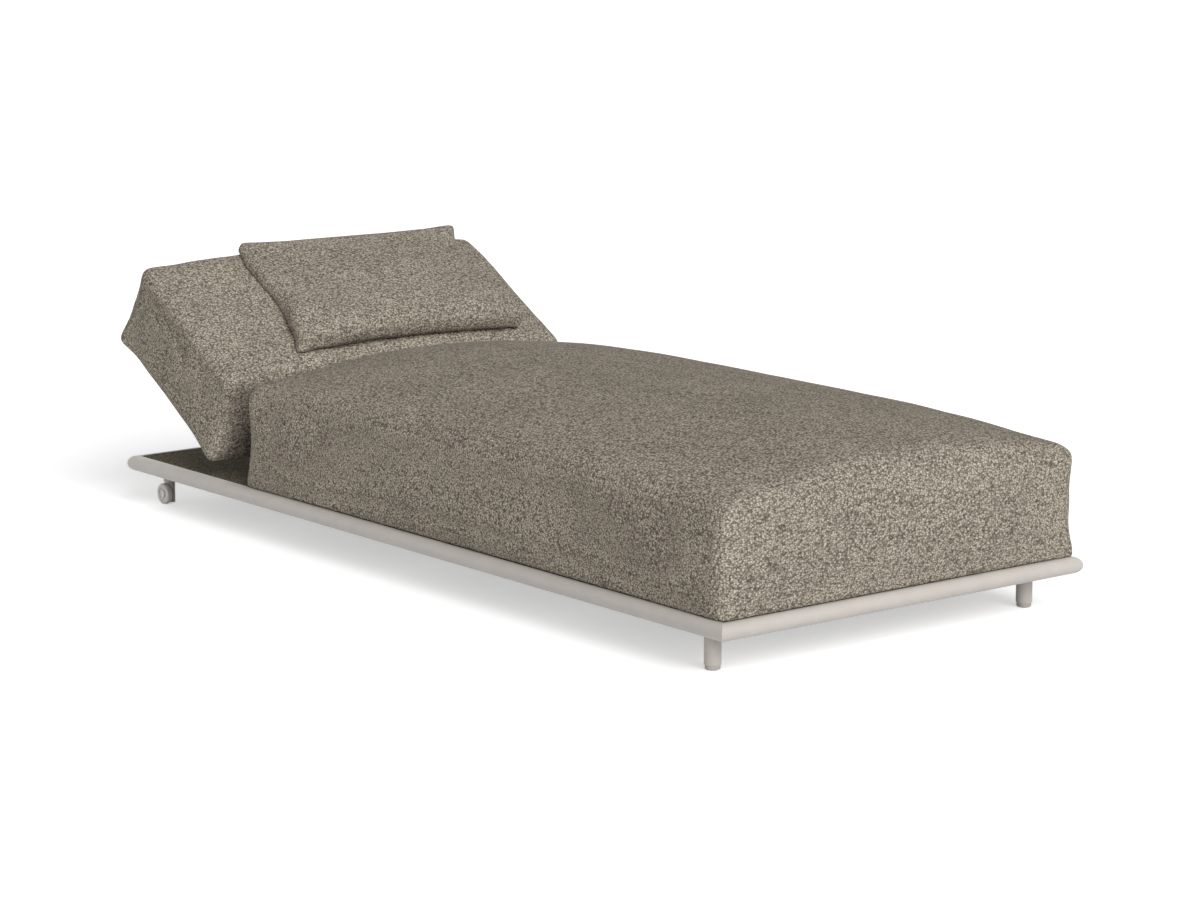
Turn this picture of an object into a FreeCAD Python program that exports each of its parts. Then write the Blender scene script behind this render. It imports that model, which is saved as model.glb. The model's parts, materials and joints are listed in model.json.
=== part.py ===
import FreeCAD, Part
import math
import os

V = FreeCAD.Vector

# Tube frame. X is the width, Y runs from the foot to the head, the ground is Z = 0.
frame_width = 940.0
rail_diameter = 35.0
rail_wall = 2.0
rail_axis_height = 93.0
weld_gap = 0.1

# Cross bars under the deck, and the deck's three panels.
bar_width = 50.0
bar_height = 20.0
bar_wall = 2.0
deck_thickness = 12.0
deck_below_rail_top = 0.5
deck_edge_gap = 0.5
deck_joint_gap = 1.0
deck_notch_gap = 1.0

# Screws that hold the panels down from below.
screw_radius = 2.5
screw_head_radius = 5.0
screw_head_height = 3.0
screw_depth = 9.0
screw_from_panel_edge = 7.0
screw_row_span = 700.0
screws_per_row = 3
screw_hole_gap = 0.4
thread_gap = 0.05

# Front legs with their plastic glides.
leg_diameter = 33.0
leg_wall = 2.5
leg_from_foot = 100.0
leg_from_side = 63.0
glide_height = 10.0
glide_radius = 15.0
glide_chamfer = 2.5
glide_spigot_length = 22.0
spigot_gap = 0.1

# Rear posts, each milled flat on its outer side for a small wheel.
post_diameter = 26.0
post_from_side = 72.0
post_from_head = 63.0
post_ground_gap = 4.0
post_flat_offset = 4.5
post_shoulder_gap = 3.0
wheel_diameter = 48.0
wheel_width = 14.0
tyre_thickness = 6.0
tyre_shoulder = 4.0
tyre_seat_gap = 0.05
rim_thickness = 3.5
web_inner_recess = 4.0
web_outer_recess = 2.5
hub_radius = 10.0
hub_recess = 4.0
hub_boss = 0.7
axle_radius = 4.0
axle_head_radius = 8.0
axle_head_height = 3.0
axle_thread_radius = 3.0
axle_thread_length = 14.0
running_gap = 0.05
end_play = 0.3

# Corner radius left on a cushion's end faces, as a share of the radius along its sides.
end_corner_share = 0.4
end_steps = 4

# Seat cushion. A lean is the angle at which a drawn-in side leaves its corners.
seat_side_inset = 11.0
seat_foot_inset = 11.0
seat_length = 1614.0
seat_lift = 0.3
seat_edge_height = 219.0
seat_long_edge_rise = 34.0
seat_rise_fullness = 4
seat_middle_stations = 7
seat_crown = 46.0
seat_end_radius = 28.0
seat_low_radius = 9.0
seat_top_radius = 40.0
seat_side_lean = 5.0
seat_plan_draw = 6.0

# Back cushion, drawn lying flat on the deck and then raised about the hinge.
recline = 31.0
hinge_behind_seat = 18.0
hinge_above_deck = 212.0
back_side_inset = 11.0
back_behind_hinge = 22.0
back_length = 428.0
back_head_inset = 7.0
back_lift = 2.0
back_thickness = 210.0
back_crown = 20.0
back_end_radius = 22.0
back_edge_radius = 22.0
back_side_lean = 9.0
back_plan_draw = 4.0

# Head pillow, lying on the crown of the back.
pillow_width = 600.0
pillow_length = 366.0
pillow_past_back = 4.0
pillow_off_centre = 66.0
pillow_foot_height = 54.0
pillow_head_height = 23.0
pillow_end_share = 0.62
pillow_end_radius = 22.0
pillow_crown = 22.0
pillow_end_crown = 1.0
pillow_low_roundness = 0.3
pillow_top_roundness = 0.9
pillow_seam_share = 0.3
pillow_side_lean = 4.0
pillow_plan_draw = 12.0
pillow_gap = 0.4

# Friction hinges: a post between two arms, with lining discs, a bolt, a spring and a nut.
hinge_from_side = 170.0
hinge_post_width = 12.0
hinge_post_depth = 20.0
pivot_radius = 5.0
lining_radius = 14.0
lining_thickness = 1.5
lining_gap = 0.1
arm_thickness = 6.0
arm_eye_radius = 15.0
arm_bend_radius = 14.0
bolt_head_radius = 9.0
bolt_head_height = 4.0
bolt_bevel = 1.6
bolt_tail = 2.0
spring_radius = 10.0
spring_sheet = 1.2
spring_cone = 0.8
nut_across_flats = 17.0
nut_height = 8.0

# Tube frame inside the back cushion.
back_tube_diameter = 22.0
back_tube_wall = 2.0
back_tube_from_foot = 24.0
back_tube_from_top = 40.0
back_tube_from_side = 52.0
back_tube_overhang = 2.0
plug_flange = 2.5
plug_spigot_length = 15.0
arm_collar = 4.5
strap_count = 5
strap_width = 45.0
strap_thickness = 2.0
strap_gap = 0.15
pocket_gap = 0.4

# Places worked out from the sizes above.
half_width = frame_width / 2
hinge_from_foot = seat_foot_inset + seat_length + hinge_behind_seat
back_reach = back_behind_hinge + back_length
frame_length = hinge_from_foot + back_reach + back_head_inset
recline_angle = math.radians(recline)
tilted_reach = back_reach * math.cos(recline_angle) + hinge_above_deck * math.sin(recline_angle)
origin_from_foot = round((hinge_from_foot + tilted_reach) / 2)
foot_end = -origin_from_foot
head_end = foot_end + frame_length
rail_radius = rail_diameter / 2
rail_x = half_width - rail_radius
deck_top = rail_axis_height + rail_radius - deck_below_rail_top
bar_top = deck_top - deck_thickness
bar_low = bar_top - bar_height
leg_x = half_width - leg_from_side
leg_y = foot_end + leg_from_foot
post_x = half_width - post_from_side
post_y = head_end - post_from_head
wheel_radius = wheel_diameter / 2
seat_half_width = half_width - seat_side_inset
seat_foot = foot_end + seat_foot_inset
hinge_y = foot_end + hinge_from_foot
hinge_z = deck_top + hinge_above_deck
hinge_x = half_width - hinge_from_side
back_half_width = half_width - back_side_inset
back_foot = hinge_y + back_behind_hinge
back_low = deck_top + back_lift
back_tube_radius = back_tube_diameter / 2
back_tube_z = back_low + back_thickness / 2
back_tube_x = back_half_width - back_tube_from_side
back_tube_end = back_tube_x + back_tube_radius + back_tube_overhang
lower_tube_y = back_foot + back_tube_from_foot
top_tube_y = back_foot + back_length - back_tube_from_top
arm_start = hinge_post_width / 2 + lining_thickness + lining_gap
arm_end = arm_start + arm_thickness

bar_places = {
    "crossbar_foot": leg_y,
    "crossbar_front": leg_y + (hinge_y - leg_y) / 3,
    "crossbar_middle": leg_y + (hinge_y - leg_y) * 2 / 3,
    "crossbar_hinge": hinge_y,
    "crossbar_head": post_y,
}
middle_joint = bar_places["crossbar_middle"]
rear_joint = hinge_y - hinge_post_depth / 2 - deck_notch_gap


def mirrored(shape):
    """The same piece on the other side of the lounger."""
    return shape.mirror(V(0, 0, 0), V(1, 0, 0))


def raised(shape):
    """A piece of the back, turned from lying flat to its resting slope."""
    turned = shape.copy()
    turned.rotate(V(0, hinge_y, hinge_z), V(1, 0, 0), recline)
    return turned


def rod(start, direction, radius, length):
    return Part.makeCylinder(radius, length, start, direction)


def tube(start, direction, radius, wall, length):
    return rod(start, direction, radius, length).cut(rod(start, direction, radius - wall, length))


def block(x0, x1, y0, y1, z0, z1):
    return Part.makeBox(x1 - x0, y1 - y0, z1 - z0, V(x0, y0, z0))


def polygon(points):
    return Part.Wire(Part.makePolygon(points + points[:1]))


def turned_piece(points, axis_point, axis):
    """A solid of revolution from a closed outline of points beside its axis."""
    return Part.Face(polygon(points)).revolve(axis_point, axis, 360)


def side_rail_cutter(x, gap):
    start = V(x, foot_end - rail_diameter, rail_axis_height)
    return rod(start, V(0, 1, 0), rail_radius + gap, frame_length + 2 * rail_diameter)


def end_rail_cutter(y, gap):
    start = V(-half_width - rail_diameter, y, rail_axis_height)
    return rod(start, V(1, 0, 0), rail_radius + gap, frame_width + 2 * rail_diameter)


def mitre_prism(corners):
    """A tall prism over a rail's plan outline, whose slanted ends are the mitres."""
    base = [V(x, y, 0) for x, y in corners]
    return Part.Face(polygon(base)).extrude(V(0, 0, rail_axis_height + rail_diameter))


def side_rail():
    start = V(rail_x, foot_end, rail_axis_height)
    pipe = tube(start, V(0, 1, 0), rail_radius, rail_wall, frame_length)
    inner = half_width - rail_diameter
    corners = [
        (half_width, foot_end),
        (half_width, head_end),
        (inner, head_end - rail_diameter),
        (inner, foot_end + rail_diameter),
    ]
    return pipe.common(mitre_prism(corners))


def end_rail(outer_y, inward):
    axis_y = outer_y + inward * rail_radius
    start = V(-half_width, axis_y, rail_axis_height)
    pipe = tube(start, V(1, 0, 0), rail_radius, rail_wall, frame_width)
    inner_x = half_width - rail_diameter
    inner_y = outer_y + inward * rail_diameter
    corners = [
        (-half_width, outer_y),
        (half_width, outer_y),
        (inner_x, inner_y),
        (-inner_x, inner_y),
    ]
    return pipe.common(mitre_prism(corners))


def screw_row_x():
    step = screw_row_span / (screws_per_row - 1)
    return [-screw_row_span / 2 + step * k for k in range(screws_per_row)]


def screw_rows():
    """Where the screw rows lie along Y, with the name of the bar that each goes through."""
    half_joint = deck_joint_gap / 2
    return [
        ("crossbar_foot", bar_places["crossbar_foot"]),
        ("crossbar_front", bar_places["crossbar_front"]),
        ("crossbar_middle", middle_joint - half_joint - screw_from_panel_edge),
        ("crossbar_middle", middle_joint + half_joint + screw_from_panel_edge),
        ("crossbar_hinge", rear_joint - half_joint - screw_from_panel_edge),
        ("crossbar_hinge", hinge_y + hinge_post_depth / 2 + screw_from_panel_edge),
        ("crossbar_head", bar_places["crossbar_head"]),
    ]


def crossbar(name):
    y = bar_places[name]
    half = bar_width / 2
    bar = block(-rail_x, rail_x, y - half, y + half, bar_low, bar_top)
    core = block(
        -rail_x, rail_x, y - half + bar_wall, y + half - bar_wall, bar_low + bar_wall, bar_top - bar_wall
    )
    bar = bar.cut(core)
    for x in (-rail_x, rail_x):
        bar = bar.cut(side_rail_cutter(x, weld_gap))
    for row_bar, row_y in screw_rows():
        if row_bar == name:
            for x in screw_row_x():
                hole = rod(V(x, row_y, bar_low), V(0, 0, 1), screw_radius + screw_hole_gap, bar_height)
                bar = bar.cut(hole)
    return bar


def deck_panel(y0, y1, end_rail_y=None):
    """A panel whose edges nest against the round rails, with blind screw holes below."""
    panel = block(-rail_x, rail_x, y0, y1, bar_top, deck_top)
    for x in (-rail_x, rail_x):
        panel = panel.cut(side_rail_cutter(x, deck_edge_gap))
    if end_rail_y is not None:
        panel = panel.cut(end_rail_cutter(end_rail_y, deck_edge_gap))
    for _, row_y in screw_rows():
        if y0 < row_y < y1:
            for x in screw_row_x():
                panel = panel.cut(rod(V(x, row_y, bar_top), V(0, 0, 1), screw_radius + thread_gap, screw_depth))
    return panel


def deck_front():
    axis_y = foot_end + rail_radius
    return deck_panel(axis_y, middle_joint - deck_joint_gap / 2, axis_y)


def deck_middle():
    return deck_panel(middle_joint + deck_joint_gap / 2, rear_joint - deck_joint_gap / 2)


def deck_rear():
    axis_y = head_end - rail_radius
    panel = deck_panel(rear_joint + deck_joint_gap / 2, axis_y, axis_y)
    reach_x = hinge_post_width / 2 + deck_notch_gap
    reach_y = hinge_post_depth / 2 + deck_notch_gap
    for x in (-hinge_x, hinge_x):
        notch = block(x - reach_x, x + reach_x, hinge_y - reach_y, hinge_y + reach_y, bar_top, deck_top)
        panel = panel.cut(notch)
    return panel


def deck_screws():
    screws = []
    for _, row_y in screw_rows():
        for x in screw_row_x():
            head_low = V(x, row_y, bar_low - screw_head_height)
            head = rod(head_low, V(0, 0, 1), screw_head_radius, screw_head_height)
            length = screw_head_height + bar_height + screw_depth - thread_gap
            shank = rod(head_low, V(0, 0, 1), screw_radius, length)
            screws.append(head.fuse(shank).removeSplitter())
    return Part.makeCompound(screws)


def front_leg():
    base = V(leg_x, leg_y, glide_height)
    return tube(base, V(0, 0, 1), leg_diameter / 2, leg_wall, bar_low - glide_height)


def glide():
    spigot_radius = leg_diameter / 2 - leg_wall - spigot_gap
    spigot_top = glide_height + glide_spigot_length
    outline = [
        (0, 0),
        (glide_radius - glide_chamfer, 0),
        (glide_radius, glide_chamfer),
        (glide_radius, glide_height),
        (spigot_radius, glide_height),
        (spigot_radius, spigot_top),
        (0, spigot_top),
    ]
    points = [V(leg_x + r, leg_y, z) for r, z in outline]
    return turned_piece(points, V(leg_x, leg_y, 0), V(0, 0, 1))


post_flat_x = post_x + post_flat_offset
wheel_inner_x = post_flat_x + hub_boss + end_play


def wheel_outline(points):
    """Points given as (distance out from the wheel's inner face, radius)."""
    return [V(wheel_inner_x + u, post_y, wheel_radius + r) for u, r in points]


def wheel_post():
    radius = post_diameter / 2
    post = rod(V(post_x, post_y, post_ground_gap), V(0, 0, 1), radius, bar_low - post_ground_gap)
    flat_top = wheel_diameter + post_shoulder_gap
    flat = block(post_flat_x, post_x + radius, post_y - radius, post_y + radius, post_ground_gap, flat_top)
    hole_start = V(post_flat_x, post_y, wheel_radius)
    hole = rod(hole_start, V(-1, 0, 0), axle_thread_radius + thread_gap, axle_thread_length)
    return post.cut(flat).cut(hole)


def wheel():
    rim_outer = wheel_radius - tyre_thickness
    rim_inner = rim_outer - rim_thickness
    bore = axle_radius + running_gap
    web_out = wheel_width - web_outer_recess
    hub_out = wheel_width - hub_recess
    outline = [
        (-hub_boss, bore),
        (-hub_boss, hub_radius),
        (web_inner_recess, hub_radius),
        (web_inner_recess, rim_inner),
        (0, rim_inner),
        (0, rim_outer),
        (wheel_width, rim_outer),
        (wheel_width, rim_inner),
        (web_out, rim_inner),
        (web_out, hub_radius),
        (hub_out, hub_radius),
        (hub_out, bore),
    ]
    return turned_piece(wheel_outline(outline), V(0, post_y, wheel_radius), V(1, 0, 0))


def tyre():
    inner = wheel_radius - tyre_thickness + tyre_seat_gap
    flank = wheel_radius - tyre_shoulder
    turn = tyre_shoulder * (1 - math.sqrt(0.5))
    outline = [
        (0, inner),
        (0, flank),
        (turn, wheel_radius - turn),
        (tyre_shoulder, wheel_radius),
        (wheel_width - tyre_shoulder, wheel_radius),
        (wheel_width - turn, wheel_radius - turn),
        (wheel_width, flank),
        (wheel_width, inner),
    ]
    return turned_piece(wheel_outline(outline), V(0, post_y, wheel_radius), V(1, 0, 0))


def axle():
    shoulder = -hub_boss - end_play
    head_in = wheel_width - hub_recess + end_play
    outline = [
        (shoulder - axle_thread_length + thread_gap, 0),
        (shoulder - axle_thread_length + thread_gap, axle_thread_radius),
        (shoulder, axle_thread_radius),
        (shoulder, axle_radius),
        (head_in, axle_radius),
        (head_in, axle_head_radius),
        (head_in + axle_head_height, axle_head_radius),
        (head_in + axle_head_height, 0),
    ]
    return turned_piece(wheel_outline(outline), V(0, post_y, wheel_radius), V(1, 0, 0))


def cushion_section(y, half, low, edge, crown, low_radius, top_radius, side_lean, dip=0.0):
    """One cross-section of a cushion, in tangent arcs: crown, soft corners and drawn-in sides."""
    top_x = half - top_radius
    top_z = edge - top_radius
    low_x = half - low_radius
    low_z = low + low_radius
    lean = math.radians(side_lean)
    slope = 0.0
    for _ in range(5):
        slope = 2 * math.atan(crown / (top_x + top_radius * math.sin(slope)))

    def low_corner(angle):
        return V(low_x + low_radius * math.cos(angle), y, low_z + low_radius * math.sin(angle))

    def top_corner(angle):
        return V(top_x + top_radius * math.cos(angle), y, top_z + top_radius * math.sin(angle))

    quarter = math.pi / 2
    side_low = low_corner(lean)
    side_top = top_corner(-lean)
    side_middle = (side_low + side_top) * 0.5 - V((side_top.z - side_low.z) / 2 * math.tan(lean / 2), 0, 0)
    shoulder = top_corner(quarter - slope)
    arcs = [
        (low_corner(-quarter), low_corner((lean - quarter) / 2), side_low),
        (side_low, side_middle, side_top),
        (side_top, top_corner((quarter - slope - lean) / 2), shoulder),
    ]

    def across(point):
        return V(-point.x, point.y, point.z)

    edges = [Part.Arc(*arc).toShape() for arc in arcs]
    edges.append(Part.Arc(shoulder, V(0, y, shoulder.z + crown), across(shoulder)).toShape())
    for start, middle, end in reversed(arcs):
        edges.append(Part.Arc(across(end), across(middle), across(start)).toShape())
    base_end = arcs[0][0]
    if dip:
        edges.append(Part.Arc(across(base_end), V(0, y, low + dip), base_end).toShape())
    else:
        edges.append(Part.makeLine(across(base_end), base_end))
    return Part.Wire(edges)


def stations(length, end_radius, between):
    """Places along a cushion, each with the inset that rounds the cushion's ends."""
    turns = [math.radians(90 * k / end_steps) for k in range(end_steps + 1)]
    near = [(end_radius * (1 - math.cos(a)), end_radius * (1 - math.sin(a))) for a in turns]
    far = [(length - place, inset) for place, inset in reversed(near)]
    step = (length - 2 * end_radius) / (between + 1)
    middle = [(end_radius + step * (k + 1), 0.0) for k in range(between)]
    return near + middle + far


def eased(radius, inset, end_radius):
    """A corner radius that tightens towards the end faces."""
    return radius * (1 - (1 - end_corner_share) * inset / end_radius)


def bow(place, length, fullness=2):
    """1 at the middle of a cushion's length and 0 at its ends, reached sooner when fuller."""
    return 1 - abs(2 * place / length - 1) ** fullness


def seat_cushion():
    low = deck_top + seat_lift
    edge = deck_top + seat_edge_height
    low_share = seat_low_radius / seat_end_radius
    sections = []
    for place, inset in stations(seat_length, seat_end_radius, seat_middle_stations):
        rise = seat_long_edge_rise * bow(place, seat_length, seat_rise_fullness)
        section = cushion_section(
            seat_foot + place,
            seat_half_width - inset - seat_plan_draw * bow(place, seat_length),
            low + inset * low_share,
            edge - inset + rise,
            seat_crown,
            eased(seat_low_radius, inset, seat_end_radius),
            eased(seat_top_radius, inset, seat_end_radius),
            seat_side_lean,
        )
        sections.append(section)
    return Part.makeLoft(sections, True, True)


def back_crown_arc():
    """Height of the back's crown line and the radius of its arc, lying flat."""
    flat_half = back_half_width - back_plan_draw - back_edge_radius
    slope = 0.0
    for _ in range(5):
        chord = flat_half + back_edge_radius * math.sin(slope)
        slope = 2 * math.atan(back_crown / chord)
    shoulder = back_low + back_thickness - back_edge_radius * (1 - math.cos(slope))
    return shoulder + back_crown, chord / math.sin(slope)


def back_cushion():
    sections = []
    for place, inset in stations(back_length, back_end_radius, 1):
        edge_radius = eased(back_edge_radius, inset, back_end_radius)
        section = cushion_section(
            back_foot + place,
            back_half_width - inset - back_plan_draw * bow(place, back_length),
            back_low + inset,
            back_low + back_thickness - inset,
            back_crown,
            edge_radius,
            edge_radius,
            back_side_lean,
        )
        sections.append(section)
    body = Part.makeLoft(sections, True, True)
    reach_x = back_tube_end + plug_flange + pocket_gap
    reach_z = back_tube_radius + arm_collar + pocket_gap
    pocket = block(
        -reach_x,
        reach_x,
        back_foot - back_end_radius,
        top_tube_y + back_tube_radius + pocket_gap,
        back_tube_z - reach_z,
        back_tube_z + reach_z,
    )
    return raised(body.cut(pocket))


def head_pillow():
    crown_top, crown_radius = back_crown_arc()
    seat_radius = crown_radius + pillow_gap
    pillow_foot = back_foot + back_length + pillow_past_back - pillow_length
    sections = []
    for place, inset in stations(pillow_length, pillow_end_radius, 1):
        swell = bow(place, pillow_length)
        full_height = pillow_foot_height + (pillow_head_height - pillow_foot_height) * place / pillow_length
        pinch = full_height * (1 - pillow_end_share) * inset / pillow_end_radius
        height = full_height - pinch
        low_radius = pillow_low_roundness * height / 2
        half = pillow_width / 2 - inset - pillow_plan_draw * swell
        chord = half - low_radius
        dip = seat_radius - math.sqrt(seat_radius**2 - chord**2)
        low = crown_top + pillow_gap - dip + pillow_seam_share * pinch
        section = cushion_section(
            pillow_foot + place,
            half,
            low,
            low + height,
            pillow_end_crown + (pillow_crown - pillow_end_crown) * swell,
            low_radius,
            pillow_top_roundness * height / 2,
            pillow_side_lean,
            dip,
        )
        sections.append(section)
    pillow = Part.makeLoft(sections, True, True)
    shift = math.degrees(pillow_off_centre / crown_radius)
    pillow.rotate(V(0, 0, crown_top - crown_radius), V(0, 1, 0), shift)
    return raised(pillow)


def hinge_post():
    half = hinge_post_depth / 2
    x0 = hinge_x - hinge_post_width / 2
    shaft = block(x0, x0 + hinge_post_width, hinge_y - half, hinge_y + half, bar_top, hinge_z)
    eye = rod(V(x0, hinge_y, hinge_z), V(1, 0, 0), half, hinge_post_width)
    bore = rod(V(x0, hinge_y, hinge_z), V(1, 0, 0), pivot_radius + running_gap, hinge_post_width)
    return shaft.fuse(eye).removeSplitter().cut(bore)


def hinge_ring(x0, thickness, radius):
    start = V(x0, hinge_y, hinge_z)
    hole = rod(start, V(1, 0, 0), pivot_radius + running_gap, thickness)
    return rod(start, V(1, 0, 0), radius, thickness).cut(hole)


def hinge_linings():
    half = hinge_post_width / 2
    outer = hinge_ring(hinge_x + half, lining_thickness, lining_radius)
    inner = hinge_ring(hinge_x - half - lining_thickness, lining_thickness, lining_radius)
    return Part.makeCompound([outer, inner])


def link_plate(x0, start, start_radius, end, end_radius, thickness):
    """A plate round two pins, its sides tangent to both ends."""
    run = end - start
    heading = math.atan2(run.z, run.y)
    lean = math.acos((start_radius - end_radius) / run.Length)

    def rim(centre, radius, angle):
        return V(x0, centre.y + radius * math.cos(angle), centre.z + radius * math.sin(angle))

    left, right = heading + lean, heading - lean
    edges = [
        Part.makeLine(rim(start, start_radius, right), rim(end, end_radius, right)),
        Part.Arc(
            rim(end, end_radius, right), rim(end, end_radius, heading), rim(end, end_radius, left)
        ).toShape(),
        Part.makeLine(rim(end, end_radius, left), rim(start, start_radius, left)),
        Part.Arc(
            rim(start, start_radius, left),
            rim(start, start_radius, heading + math.pi),
            rim(start, start_radius, right),
        ).toShape(),
    ]
    return Part.Face(Part.Wire(edges)).extrude(V(thickness, 0, 0))


def hinge_arm(x0):
    """A cranked arm: down from the pivot and back to the lower tube of the back frame."""
    pivot = V(x0, hinge_y, hinge_z)
    bend = V(x0, hinge_y, back_tube_z)
    foot = V(x0, lower_tube_y, back_tube_z)
    foot_radius = back_tube_radius + arm_collar
    arm = link_plate(x0, pivot, arm_eye_radius, bend, arm_bend_radius, arm_thickness)
    arm = arm.fuse(link_plate(x0, bend, arm_bend_radius, foot, foot_radius, arm_thickness)).removeSplitter()
    arm = arm.cut(rod(pivot, V(1, 0, 0), pivot_radius + running_gap, arm_thickness))
    return raised(arm.cut(rod(foot, V(1, 0, 0), back_tube_radius + weld_gap, arm_thickness)))


nut_start = hinge_x - arm_end - spring_sheet - spring_cone


def pivot_bolt():
    """A round-headed bolt through the whole stack, its head bevelled on the outer side."""
    under_head = hinge_x + arm_end
    head_end_x = under_head + bolt_head_height
    tail = nut_start - nut_height - bolt_tail
    outline = [
        (tail, 0),
        (tail, pivot_radius),
        (under_head, pivot_radius),
        (under_head, bolt_head_radius),
        (head_end_x - bolt_bevel, bolt_head_radius),
        (head_end_x, bolt_head_radius - bolt_bevel),
        (head_end_x, 0),
    ]
    points = [V(x, hinge_y, hinge_z + r) for x, r in outline]
    return turned_piece(points, V(0, hinge_y, hinge_z), V(1, 0, 0))


def disc_spring():
    bore = pivot_radius + running_gap
    wide = hinge_x - arm_end
    outline = [
        (wide, spring_radius),
        (wide - spring_sheet, spring_radius),
        (wide - spring_sheet - spring_cone, bore),
        (wide - spring_cone, bore),
    ]
    points = [V(x, hinge_y, hinge_z + r) for x, r in outline]
    return turned_piece(points, V(0, hinge_y, hinge_z), V(1, 0, 0))


def lock_nut():
    corner = nut_across_flats / math.sqrt(3)
    ring = []
    for k in range(6):
        angle = math.radians(60 * k)
        ring.append(V(nut_start, hinge_y + corner * math.cos(angle), hinge_z + corner * math.sin(angle)))
    nut = Part.Face(polygon(ring)).extrude(V(-nut_height, 0, 0))
    return nut.cut(rod(V(nut_start, hinge_y, hinge_z), V(-1, 0, 0), pivot_radius + running_gap, nut_height))


def back_cross_tube(y):
    start = V(-back_tube_end, y, back_tube_z)
    return raised(tube(start, V(1, 0, 0), back_tube_radius, back_tube_wall, 2 * back_tube_end))


def back_side_tube():
    start = V(back_tube_x, lower_tube_y, back_tube_z)
    pipe = tube(start, V(0, 1, 0), back_tube_radius, back_tube_wall, top_tube_y - lower_tube_y)
    for y in (lower_tube_y, top_tube_y):
        cutter_start = V(back_tube_x - back_tube_diameter, y, back_tube_z)
        pipe = pipe.cut(rod(cutter_start, V(1, 0, 0), back_tube_radius + weld_gap, 2 * back_tube_diameter))
    return raised(pipe)


def back_tube_plugs():
    spigot_radius = back_tube_radius - back_tube_wall - spigot_gap
    plugs = []
    for y in (lower_tube_y, top_tube_y):
        end = V(back_tube_end, y, back_tube_z)
        flange = rod(end, V(1, 0, 0), back_tube_radius, plug_flange)
        spigot = rod(end, V(-1, 0, 0), spigot_radius, plug_spigot_length)
        plug = flange.fuse(spigot).removeSplitter()
        plugs.append(plug)
        plugs.append(mirrored(plug))
    return raised(Part.makeCompound(plugs))


def strap_loop(y, radius):
    """A flat band that runs round both side tubes, as a solid racetrack of the given radius."""
    right = V(back_tube_x, y, back_tube_z)
    left = V(-back_tube_x, y, back_tube_z)
    up = V(0, 0, radius)
    edges = [
        Part.makeLine(left + up, right + up),
        Part.Arc(right + up, right + V(radius, 0, 0), right - up).toShape(),
        Part.makeLine(right - up, left - up),
        Part.Arc(left - up, left - V(radius, 0, 0), left + up).toShape(),
    ]
    return Part.Face(Part.Wire(edges)).extrude(V(0, strap_width, 0))


def back_straps():
    inner = back_tube_radius + strap_gap
    step = (top_tube_y - lower_tube_y) / (strap_count + 1)
    loops = []
    for k in range(strap_count):
        y = lower_tube_y + step * (k + 1) - strap_width / 2
        loops.append(strap_loop(y, inner + strap_thickness).cut(strap_loop(y, inner)))
    return raised(Part.makeCompound(loops))


def export(name, shape):
    shape.exportStep("parts/" + name + ".step")


def export_pair(name, shape):
    """Write a piece of the right side and its mirror image on the left."""
    export(name + "_right", shape)
    export(name + "_left", mirrored(shape))


os.makedirs("parts", exist_ok=True)

export_pair("rail", side_rail())
export("rail_foot", end_rail(foot_end, 1))
export("rail_head", end_rail(head_end, -1))
for bar_name in bar_places:
    export(bar_name, crossbar(bar_name))
export("deck_front", deck_front())
export("deck_middle", deck_middle())
export("deck_rear", deck_rear())
export("deck_screws", deck_screws())

export_pair("leg", front_leg())
export_pair("glide", glide())
export_pair("wheel_post", wheel_post())
export_pair("wheel", wheel())
export_pair("tyre", tyre())
export_pair("axle", axle())

export_pair("hinge_post", hinge_post())
export_pair("hinge_linings", hinge_linings())
export_pair("hinge_arm_outer", hinge_arm(hinge_x + arm_start))
export_pair("hinge_arm_inner", hinge_arm(hinge_x - arm_end))
export_pair("pivot_bolt", raised(pivot_bolt()))
export_pair("disc_spring", raised(disc_spring()))
export_pair("lock_nut", raised(lock_nut()))

export("back_lower_tube", back_cross_tube(lower_tube_y))
export("back_top_tube", back_cross_tube(top_tube_y))
export_pair("back_side_tube", back_side_tube())
export("back_tube_plugs", back_tube_plugs())
export("back_straps", back_straps())

export("seat_cushion", seat_cushion())
export("back_cushion", back_cushion())
export("head_pillow", head_pillow())

print("hinge axis at Y", round(hinge_y, 3), "Z", round(hinge_z, 3))
print("wheel axles at Y", round(post_y, 3), "Z", round(wheel_radius, 3))
print("front legs at X", round(leg_x, 3), "Y", round(leg_y, 3))
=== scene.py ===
# %% [markdown]
# # A sun lounger, dressed
# The CAD model is the fixed frame: every tube, bar, hinge and wheel is already in its place, in metres.
# This lesson gives those parts their finishes and makes what CAD left plain: the three stuffed
# cushions. We keep the CAD box, because cloth may stand only a little proud of it.

# %% Load the frame
import json
import math

import bmesh
import bpy
import numpy as np
from mathutils import Matrix, Vector
from mathutils.bvhtree import BVHTree


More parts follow.
